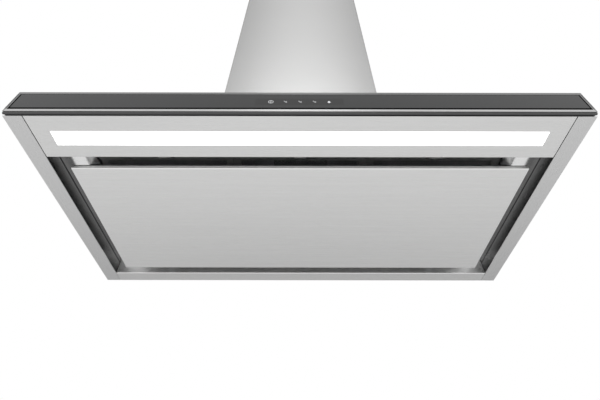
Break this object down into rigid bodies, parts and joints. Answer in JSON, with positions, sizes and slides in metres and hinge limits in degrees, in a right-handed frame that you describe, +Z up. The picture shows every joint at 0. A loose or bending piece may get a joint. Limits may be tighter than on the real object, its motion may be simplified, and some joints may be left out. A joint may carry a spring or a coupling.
{
  "type": "island range hood",
  "caption": "Flat island range hood with a glass touch fascia, light bar, hinged perimeter-suction panel, grease filters, centrifugal blower and telescopic square chimney.",
  "frame": {"origin": "centre of the ceiling plate's upper face, where the hood is bolted to the ceiling", "axes": "+Z up towards the ceiling, +X to the right along the canopy's width, -Y towards the front with the touch keys"},
  "size_m": [1.2, 0.6077, 1.1],
  "materials": {
    "stainless": "brushed stainless steel, fine grain",
    "fascia_trim": "satin bright trim",
    "dark_glass": "back-painted dark grey glass, glossy",
    "dark_strip": "dark satin paint",
    "black_plastic": "moulded black plastic",
    "latch_plastic": "moulded black plastic, satin",
    "gland_plastic": "dark grey nylon",
    "opal_acrylic": "opal acrylic, lit from behind",
    "white_tray": "white reflective tray",
    "icon_ink": "light grey lit marks",
    "circuit_board": "green solder mask",
    "light_board": "aluminium-core strip board",
    "galvanised": "galvanised sheet steel",
    "magnet": "black moulded magnet holder",
    "bright_steel": "bright zinc-plated steel",
    "filter_rim": "satin aluminium rim",
    "filter_mesh": "layered expanded aluminium mesh",
    "wheel_metal": "galvanised fan wheel",
    "motor_case": "zinc-plated motor case",
    "driver_case": "zinc-plated steel case",
    "capacitor_case": "off-white moulded case",
    "flap_metal": "mill-finish aluminium"
  },
  "bodies": {
    "ceiling_mount": {"ceiling_plate": "galvanised", "upper_frame": "galvanised", "upper_cover_front": "stainless", "upper_cover_rear": "stainless", "upper_cover_screws": "bright_steel"},
    "canopy": {"lower_frame": "galvanised", "frame_bolts": "bright_steel", "foot_bolts": "bright_steel", "canopy_top": "stainless", "canopy_beams": "galvanised", "side_frame_left": "stainless", "side_frame_right": "stainless", "rear_frame": "stainless", "filter_deck": "stainless", "light_panel": "stainless", "light_tray": "white_tray", "light_diffuser": "opal_acrylic", "led_board": "light_board", "led_driver": "driver_case", "fascia_frame": "fascia_trim", "fascia_glass": "dark_glass", "fascia_carrier": "black_plastic", "fascia_strip": "dark_strip", "touch_board": "circuit_board", "touch_icons": "icon_ink", "control_box": "black_plastic", "control_board": "circuit_board", "hinge_brackets": "galvanised", "hinge_pins": "bright_steel", "catch_magnets": "magnet", "filter_frame_left": "filter_rim", "filter_frame_centre": "filter_rim", "filter_frame_right": "filter_rim", "filter_mesh_left": "filter_mesh", "filter_mesh_centre": "filter_mesh", "filter_mesh_right": "filter_mesh", "blower_box": "galvanised", "scroll_left": "black_plastic", "scroll_right": "black_plastic", "motor": "motor_case", "motor_bracket": "galvanised", "capacitor": "capacitor_case", "outlet_spigot": "black_plastic", "junction_box": "black_plastic", "cable_gland": "gland_plastic"},
    "lower_cover": {"lower_cover_front": "stainless", "lower_cover_rear": "stainless", "lower_cover_screws": "bright_steel"},
    "suction_panel": {"suction_panel": "stainless", "panel_liner": "stainless", "hinge_arms": "galvanised", "catch_plates": "galvanised"},
    "impeller": {"impeller": "wheel_metal", "rotor_shaft": "bright_steel"},
    "damper_left": {"damper_flap_left": "flap_metal"},
    "damper_right": {"damper_flap_right": "flap_metal"},
    "latch_left": {"filter_latch_left": "latch_plastic"},
    "latch_centre": {"filter_latch_centre": "latch_plastic"},
    "latch_right": {"filter_latch_right": "latch_plastic"}
  },
  "joints": [
    {"name": "height_adjust", "type": "slide", "parent": "ceiling_mount", "child": "canopy", "axis": [0, 0, 1], "range_m": [-0.15, 0]},
    {"name": "cover_lift", "type": "slide", "parent": "canopy", "child": "lower_cover", "axis": [0, 0, 1], "range_m": [0, 0.12]},
    {"name": "panel_hinge", "type": "hinge", "parent": "canopy", "child": "suction_panel", "pos_m": [0, 0.226, -1.084], "axis": [1, 0, 0], "range_deg": [0, 90]},
    {"name": "impeller_spin", "type": "hinge", "parent": "canopy", "child": "impeller", "pos_m": [0, -0.042, -0.885], "axis": [1, 0, 0], "continuous": true},
    {"name": "damper_left_swing", "type": "hinge", "parent": "canopy", "child": "damper_left", "pos_m": [-0.0035, 0, -0.712], "axis": [0, 1, 0], "range_deg": [0, 75]},
    {"name": "damper_right_swing", "type": "hinge", "parent": "canopy", "child": "damper_right", "pos_m": [0.0035, 0, -0.712], "axis": [0, -1, 0], "range_deg": [0, 75]},
    {"name": "latch_left_slide", "type": "slide", "parent": "canopy", "child": "latch_left", "axis": [0, 1, 0], "range_m": [0, 0.0055], "stiffness_N_per_m": 400, "springref_m": -0.004},
    {"name": "latch_centre_slide", "type": "slide", "parent": "canopy", "child": "latch_centre", "axis": [0, 1, 0], "range_m": [0, 0.0055], "stiffness_N_per_m": 400, "springref_m": -0.004},
    {"name": "latch_right_slide", "type": "slide", "parent": "canopy", "child": "latch_right", "axis": [0, 1, 0], "range_m": [0, 0.0055], "stiffness_N_per_m": 400, "springref_m": -0.004}
  ]
}
